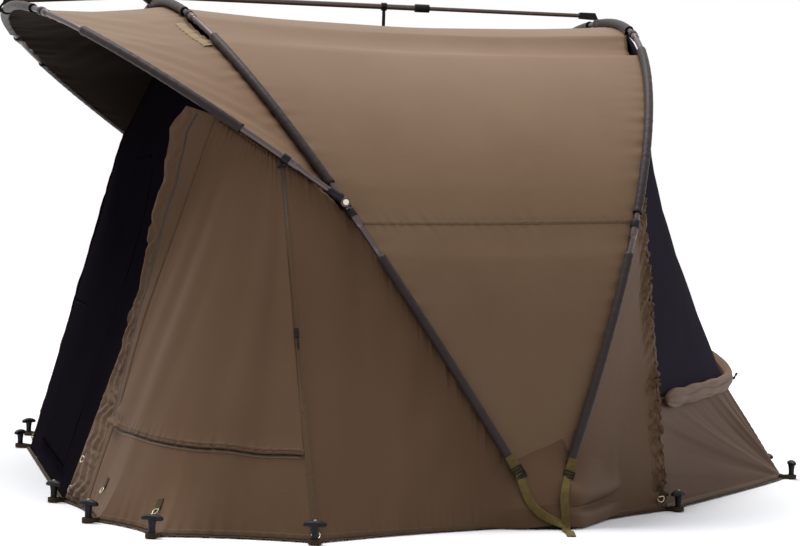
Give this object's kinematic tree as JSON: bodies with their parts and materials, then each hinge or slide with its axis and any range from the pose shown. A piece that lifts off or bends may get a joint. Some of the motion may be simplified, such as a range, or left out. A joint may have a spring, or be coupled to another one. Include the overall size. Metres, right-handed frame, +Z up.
{
  "type": "bivvy tent",
  "caption": "Arched bivvy tent with sloping tube ribs, a telescopic ridge bar, brown cloth panels, a forward hood, a black mesh door, a mesh rear window, base hubs and ground pegs.",
  "frame": {"origin": "on the ground, under the middle of the whole tent's box", "axes": "+X across the doorway to the right as seen facing the door, +Y from the door to the tail, +Z up"},
  "size_m": [3.2574, 2.4753, 1.4316],
  "materials": {
    "gunmetal_tube": "satin gunmetal anodised",
    "brown_cloth": "coated woven cloth, matt",
    "sleeve_cloth": "grey-brown pole sleeve cloth",
    "black_mesh": "fine black insect mesh",
    "olive_webbing": "woven olive webbing",
    "black_plastic": "moulded, matt",
    "zinc_steel": "zinc plated"
  },
  "bodies": {
    "tent": {"front_rib_leg_right": "gunmetal_tube", "front_rib_leg_left": "gunmetal_tube", "front_rib_shoulder_right": "gunmetal_tube", "front_rib_shoulder_left": "gunmetal_tube", "front_rib_crown": "gunmetal_tube", "front_rib_sleeves": "sleeve_cloth", "base_hub_right": "black_plastic", "base_hub_left": "black_plastic", "swivel_clamp_right": "black_plastic", "swivel_clamp_left": "black_plastic", "swivel_bolt_right": "zinc_steel", "swivel_bolt_left": "zinc_steel", "front_apex_bracket": "black_plastic", "roof": "brown_cloth", "hood": "brown_cloth", "front_wall_right": "brown_cloth", "front_wall_left": "brown_cloth", "door_mesh": "black_mesh", "door_edge_roll_right": "brown_cloth", "door_edge_roll_left": "brown_cloth", "rear_gusset_right": "brown_cloth", "rear_gusset_left": "brown_cloth", "rear_window_mesh": "black_mesh", "rear_skirt": "brown_cloth", "rear_flap_roll": "brown_cloth", "base_strap_right": "olive_webbing", "base_strap_left": "olive_webbing", "front_hem_webbing": "olive_webbing", "rear_hem_webbing": "olive_webbing"},
    "rear_rib": {"rear_rib_leg_right": "gunmetal_tube", "rear_rib_leg_left": "gunmetal_tube", "rear_rib_shoulder_right": "gunmetal_tube", "rear_rib_shoulder_left": "gunmetal_tube", "rear_rib_crown": "gunmetal_tube", "rear_rib_sleeves": "sleeve_cloth"},
    "peak_rib": {"peak_rib_side_right": "gunmetal_tube", "peak_rib_side_left": "gunmetal_tube", "peak_rib_crown": "gunmetal_tube", "peak_rib_sleeves": "sleeve_cloth"},
    "ridge_bar": {"ridge_bar_outer": "gunmetal_tube", "ridge_bar_collar": "black_plastic", "roof_clip": "black_plastic"},
    "ridge_bar_slider": {"ridge_bar_inner": "gunmetal_tube", "ridge_bar_hook": "black_plastic"},
    "front_bar": {"front_bar": "gunmetal_tube"},
    "door_flap": {"door_flap": "black_mesh"},
    "window_zip_slider_right": {"window_zip_slider_right": "black_plastic"},
    "window_zip_slider_left": {"window_zip_slider_left": "black_plastic"},
    "peg_door_right": {"peg_door_right": "black_plastic"},
    "peg_door_left": {"peg_door_left": "black_plastic"},
    "peg_front_inner_right": {"peg_front_inner_right": "black_plastic"},
    "peg_front_inner_left": {"peg_front_inner_left": "black_plastic"},
    "peg_front_outer_right": {"peg_front_outer_right": "black_plastic"},
    "peg_front_outer_left": {"peg_front_outer_left": "black_plastic"},
    "peg_side_front_right": {"peg_side_front_right": "black_plastic"},
    "peg_side_front_left": {"peg_side_front_left": "black_plastic"},
    "peg_side_rear_right": {"peg_side_rear_right": "black_plastic"},
    "peg_side_rear_left": {"peg_side_rear_left": "black_plastic"},
    "peg_rear_right": {"peg_rear_right": "black_plastic"},
    "peg_rear_left": {"peg_rear_left": "black_plastic"}
  },
  "joints": [
    {"name": "rear_rib_fold", "type": "hinge", "parent": "tent", "child": "rear_rib", "pos_m": [0, 0.134, 0.035], "axis": [1, 0, 0], "range_deg": [0, 49], "deforming": ["roof", "rear_gusset_right", "rear_gusset_left", "rear_window_mesh", "rear_flap_roll", "rear_skirt"]},
    {"name": "peak_rib_fold", "type": "hinge", "parent": "tent", "child": "peak_rib", "pos_m": [0, -0.41164, 0.81832], "axis": [-1, 0, 0], "range_deg": [0, 20], "deforming": ["hood", "front_wall_right", "front_wall_left"]},
    {"name": "ridge_bar_swing", "type": "hinge", "parent": "tent", "child": "ridge_bar", "pos_m": [0, -0.76169, 1.4181], "axis": [1, 0, 0], "range_deg": [0, 20]},
    {"name": "ridge_bar_telescope", "type": "slide", "parent": "ridge_bar", "child": "ridge_bar_slider", "axis": [0, -1, 0.0022], "range_m": [0, 0.3]},
    {"name": "front_bar_swing", "type": "hinge", "parent": "tent", "child": "front_bar", "pos_m": [0, -0.80969, 1.4181], "axis": [-1, 0, 0], "range_deg": [0, 60]},
    {"name": "door_flap_swing", "type": "hinge", "parent": "tent", "child": "door_flap", "pos_m": [-0.43, -1.05532, 0.05894], "axis": [0, -0.2916, -0.9565], "range_deg": [0, 95]},
    {"name": "window_zip_right", "type": "slide", "parent": "tent", "child": "window_zip_slider_right", "axis": [-0.4182, -0.0409, 0.9074], "range_m": [-0.4, 0.38]},
    {"name": "window_zip_left", "type": "slide", "parent": "tent", "child": "window_zip_slider_left", "axis": [0.4182, -0.0409, 0.9074], "range_m": [-0.4, 0.38]},
    {"name": "peg_door_right_pull", "type": "slide", "parent": "tent", "child": "peg_door_right", "axis": [0, 0, 1], "range_m": [0, 0.2]},
    {"name": "peg_door_left_pull", "type": "slide", "parent": "tent", "child": "peg_door_left", "axis": [0, 0, 1], "range_m": [0, 0.2]},
    {"name": "peg_front_inner_right_pull", "type": "slide", "parent": "tent", "child": "peg_front_inner_right", "axis": [0, 0, 1], "range_m": [0, 0.2]},
    {"name": "peg_front_inner_left_pull", "type": "slide", "parent": "tent", "child": "peg_front_inner_left", "axis": [0, 0, 1], "range_m": [0, 0.2]},
    {"name": "peg_front_outer_right_pull", "type": "slide", "parent": "tent", "child": "peg_front_outer_right", "axis": [0, 0, 1], "range_m": [0, 0.2]},
    {"name": "peg_front_outer_left_pull", "type": "slide", "parent": "tent", "child": "peg_front_outer_left", "axis": [0, 0, 1], "range_m": [0, 0.2]},
    {"name": "peg_side_front_right_pull", "type": "slide", "parent": "tent", "child": "peg_side_front_right", "axis": [0, 0, 1], "range_m": [0, 0.2]},
    {"name": "peg_side_front_left_pull", "type": "slide", "parent": "tent", "child": "peg_side_front_left", "axis": [0, 0, 1], "range_m": [0, 0.2]},
    {"name": "peg_side_rear_right_pull", "type": "slide", "parent": "tent", "child": "peg_side_rear_right", "axis": [0, 0, 1], "range_m": [0, 0.2]},
    {"name": "peg_side_rear_left_pull", "type": "slide", "parent": "tent", "child": "peg_side_rear_left", "axis": [0, 0, 1], "range_m": [0, 0.2]},
    {"name": "peg_rear_right_pull", "type": "slide", "parent": "tent", "child": "peg_rear_right", "axis": [0, 0, 1], "range_m": [0, 0.2]},
    {"name": "peg_rear_left_pull", "type": "slide", "parent": "tent", "child": "peg_rear_left", "axis": [0, 0, 1], "range_m": [0, 0.2]}
  ],
  "couplings": [
    {"joint": "ridge_bar_swing", "follows": "rear_rib_fold", "ratio": 0.4},
    {"joint": "ridge_bar_telescope", "follows": "rear_rib_fold", "m_per_rad": 0.35},
    {"joint": "front_bar_swing", "follows": "peak_rib_fold", "ratio": 3}
  ]
}
